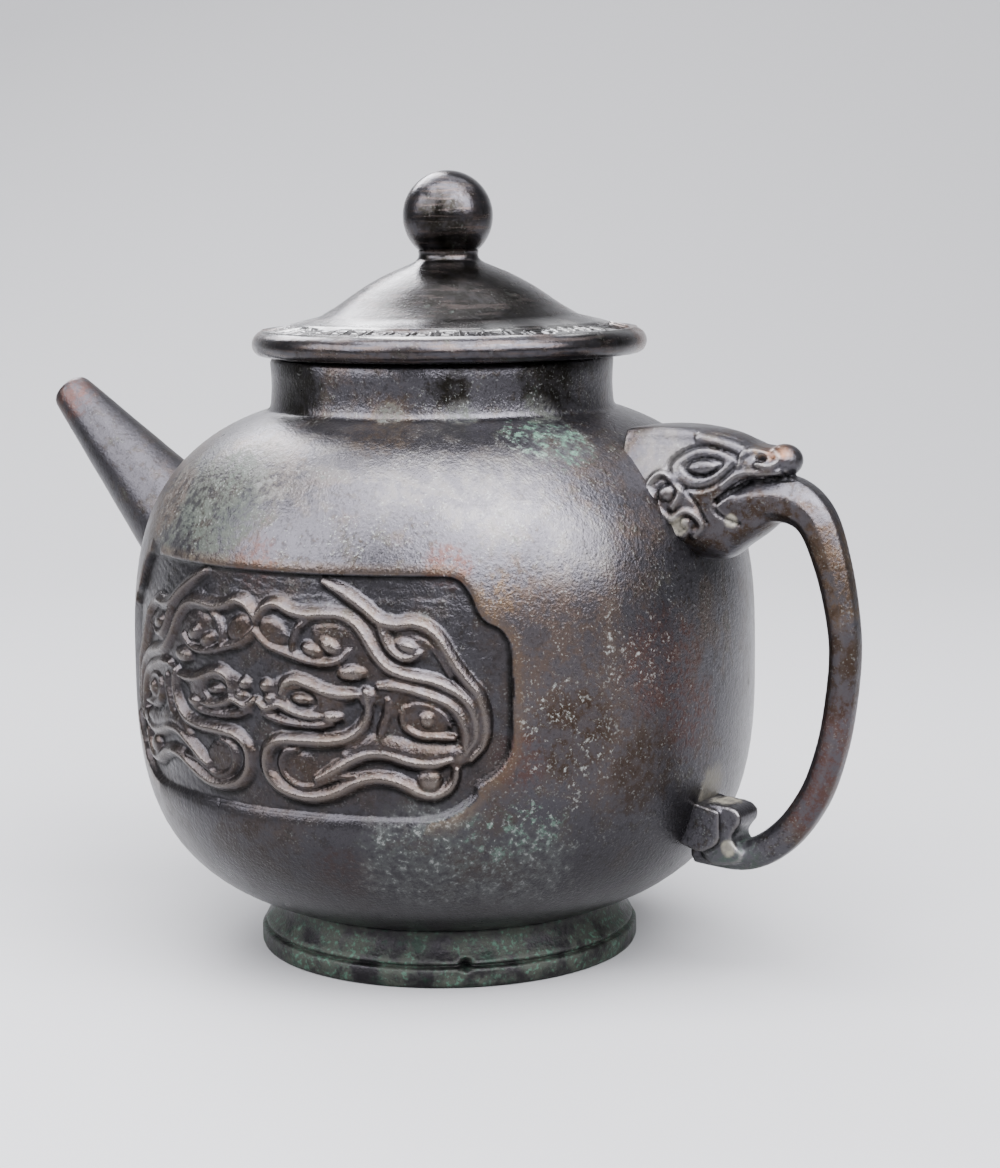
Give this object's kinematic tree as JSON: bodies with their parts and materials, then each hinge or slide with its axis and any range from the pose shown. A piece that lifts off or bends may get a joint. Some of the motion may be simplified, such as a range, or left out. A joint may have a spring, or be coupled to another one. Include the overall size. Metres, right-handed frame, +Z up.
{
  "type": "lidded bronze ewer",
  "caption": "Cast bronze lidded ewer: squat bowl on a foot ring, sunk relief panels, straight spout, handle springing from a beast's mouth, loose domed lid with a ball knob.",
  "frame": {"origin": "on the table, under the middle of the whole outline from the spout's tip to the handle", "axes": "+X towards the handle, -X towards the spout, -Y towards the front relief panel, +Z up"},
  "size_m": [0.174, 0.1116, 0.1387],
  "materials": {
    "bowl_bronze": "dark patinated cast bronze, satin, with verdigris and earth deposits",
    "spout_bronze": "dark grey-brown patinated bronze, satin",
    "handle_bronze": "worn red-brown patinated bronze, satin",
    "lid_bronze": "handled dark brown bronze, half polished"
  },
  "bodies": {
    "root": {"body": "bowl_bronze", "spout": "spout_bronze", "handle": "handle_bronze", "lid": "lid_bronze"}
  },
  "joints": []
}
